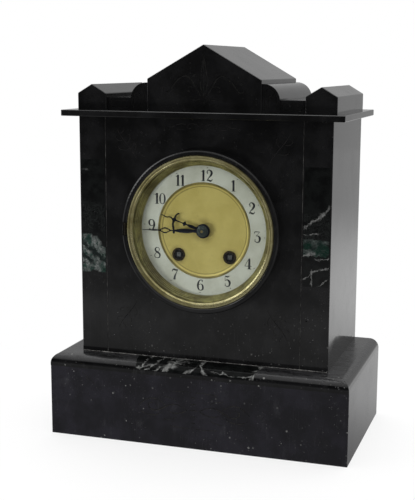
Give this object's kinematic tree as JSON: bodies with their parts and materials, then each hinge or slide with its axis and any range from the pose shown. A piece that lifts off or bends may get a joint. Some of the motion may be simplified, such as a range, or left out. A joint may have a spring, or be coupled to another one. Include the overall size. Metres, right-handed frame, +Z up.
{
  "type": "slate mantel clock",
  "caption": "Free-standing mantel clock: black slate case with a stepped gabled top, hinged brass bezel, ring dial and a two-barrel pendulum movement.",
  "frame": {"origin": "centre of the plinth's footprint, on the surface that the clock stands on", "axes": "+X to the right of someone facing the dial, +Y to the back, +Z up"},
  "size_m": [0.25, 0.135, 0.3191],
  "materials": {
    "slate": "polished black slate",
    "marble": "polished dark green marble with white veins",
    "iron": "dull wrought iron",
    "bezel_brass": "aged brass, worn bright on the rim",
    "glass": "clear flat glass with a bevelled edge",
    "porcelain": "cream enamel, slightly yellowed",
    "gilt": "matt gilding",
    "grommet_brass": "dark turned brass",
    "hand_steel": "blued steel",
    "movement_brass": "grained and lacquered brass",
    "steel": "polished steel",
    "spring_steel": "blued spring steel",
    "bell_metal": "turned bell metal"
  },
  "bodies": {
    "root": {"plinth_front": "slate", "plinth_side_left": "slate", "plinth_side_right": "slate", "plinth_back": "slate", "plinth_top": "slate", "body_front": "slate", "body_side_left": "slate", "body_side_right": "slate", "body_back": "slate", "cornice": "slate", "corner_block_left": "slate", "corner_block_right": "slate", "shoulder_left": "slate", "shoulder_right": "slate", "pediment": "slate", "dial_surround": "slate", "plinth_inlay": "marble", "marble_panel_left": "marble", "marble_panel_right": "marble", "tie_rods": "iron", "bezel_hinge": "bezel_brass", "chapter_ring": "porcelain", "dial_centre": "gilt", "winding_grommets": "grommet_brass", "dial_plate": "movement_brass", "back_ring": "movement_brass", "back_hinge": "movement_brass", "front_plate": "movement_brass", "back_plate": "movement_brass", "plate_pillars": "movement_brass", "suspension_cock": "movement_brass", "movement_straps": "steel", "strap_screws": "steel", "bell": "bell_metal"},
    "bezel": {"bezel": "bezel_brass", "bezel_glass": "glass", "sight_ring": "bezel_brass"},
    "back_door": {"back_door": "movement_brass"},
    "centre_arbor": {"centre_wheel": "movement_brass", "cannon_pinion": "steel", "minute_hand": "hand_steel", "hand_collet": "movement_brass"},
    "hour_pipe": {"hour_wheel": "movement_brass", "hour_hand": "hand_steel"},
    "minute_wheel": {"minute_wheel": "movement_brass"},
    "intermediate_arbor": {"intermediate_wheel": "movement_brass"},
    "going_barrel": {"going_barrel": "movement_brass", "going_mainspring": "spring_steel"},
    "strike_barrel": {"strike_barrel": "movement_brass", "strike_mainspring": "spring_steel"},
    "third_arbor": {"third_wheel": "movement_brass"},
    "escape_arbor": {"escape_wheel": "movement_brass"},
    "going_arbor": {"going_arbor": "steel"},
    "strike_arbor": {"strike_arbor": "steel"},
    "going_click": {"going_click": "steel"},
    "strike_click": {"strike_click": "steel"},
    "pendulum": {"pendulum_rod": "steel", "pendulum_bob": "movement_brass"},
    "anchor": {"anchor": "steel"},
    "hammer": {"hammer": "steel"}
  },
  "joints": [
    {"name": "bezel_hinge", "type": "hinge", "parent": "root", "child": "bezel", "pos_m": [-0.0624, -0.0546, 0.1738], "axis": [0, 0, -1], "range_deg": [0, 105]},
    {"name": "back_door_hinge", "type": "hinge", "parent": "root", "child": "back_door", "pos_m": [-0.0447, 0.06655, 0.1738], "axis": [0, 0, 1], "range_deg": [0, 110]},
    {"name": "minute_turn", "type": "hinge", "parent": "root", "child": "centre_arbor", "pos_m": [0, -0.0275, 0.1738], "axis": [0, 1, 0], "continuous": true},
    {"name": "hour_turn", "type": "hinge", "parent": "root", "child": "hour_pipe", "pos_m": [0, -0.0395, 0.1738], "axis": [0, 1, 0], "continuous": true},
    {"name": "minute_wheel_turn", "type": "hinge", "parent": "root", "child": "minute_wheel", "pos_m": [-0.01039, -0.0375, 0.1798], "axis": [0, 1, 0], "continuous": true},
    {"name": "intermediate_turn", "type": "hinge", "parent": "root", "child": "intermediate_arbor", "pos_m": [0.01366, -0.0175, 0.17202], "axis": [0, 1, 0], "continuous": true},
    {"name": "going_barrel_turn", "type": "hinge", "parent": "root", "child": "going_barrel", "pos_m": [0.0215, -0.0175, 0.1533], "axis": [0, 1, 0], "continuous": true},
    {"name": "third_turn", "type": "hinge", "parent": "root", "child": "third_arbor", "pos_m": [0.00348, -0.0175, 0.18632], "axis": [0, 1, 0], "continuous": true},
    {"name": "escape_turn", "type": "hinge", "parent": "root", "child": "escape_arbor", "pos_m": [0, -0.0075, 0.1968], "axis": [0, 1, 0], "continuous": true},
    {"name": "strike_barrel_turn", "type": "hinge", "parent": "root", "child": "strike_barrel", "pos_m": [-0.0215, -0.0175, 0.1533], "axis": [0, 1, 0], "continuous": true},
    {"name": "going_winding", "type": "hinge", "parent": "root", "child": "going_arbor", "pos_m": [0.0215, -0.0345, 0.1533], "axis": [0, 1, 0], "continuous": true},
    {"name": "strike_winding", "type": "hinge", "parent": "root", "child": "strike_arbor", "pos_m": [-0.0215, -0.0345, 0.1533], "axis": [0, 1, 0], "continuous": true},
    {"name": "going_click_lift", "type": "hinge", "parent": "root", "child": "going_click", "pos_m": [0.02517, -0.034, 0.16702], "axis": [0, 1, 0], "range_deg": [0, 12], "stiffness_Nm_per_rad": 0.001, "springref_deg": -11.46},
    {"name": "strike_click_lift", "type": "hinge", "parent": "root", "child": "strike_click", "pos_m": [-0.02517, -0.034, 0.16702], "axis": [0, -1, 0], "range_deg": [0, 12], "stiffness_Nm_per_rad": 0.001, "springref_deg": -11.46},
    {"name": "pendulum_swing", "type": "hinge", "parent": "root", "child": "pendulum", "pos_m": [0, 0.0146, 0.2084], "axis": [0, 1, 0], "range_deg": [-3.5, 3.5]},
    {"name": "anchor_swing", "type": "hinge", "parent": "root", "child": "anchor", "pos_m": [0, -0.0075, 0.2084], "axis": [0, 1, 0], "range_deg": [-3.5, 3.5]},
    {"name": "hammer_lift", "type": "hinge", "parent": "root", "child": "hammer", "pos_m": [0.034, 0.0125, 0.1998], "axis": [0, -1, 0], "range_deg": [0, 20]}
  ],
  "couplings": [
    {"joint": "hour_turn", "follows": "minute_turn", "ratio": 0.083333},
    {"joint": "minute_wheel_turn", "follows": "minute_turn", "ratio": -0.33333},
    {"joint": "intermediate_turn", "follows": "minute_turn", "ratio": -0.125},
    {"joint": "going_barrel_turn", "follows": "minute_turn", "ratio": 0.020833},
    {"joint": "third_turn", "follows": "minute_turn", "ratio": -12},
    {"joint": "escape_turn", "follows": "minute_turn", "ratio": 132},
    {"joint": "anchor_swing", "follows": "pendulum_swing", "ratio": 1}
  ]
}
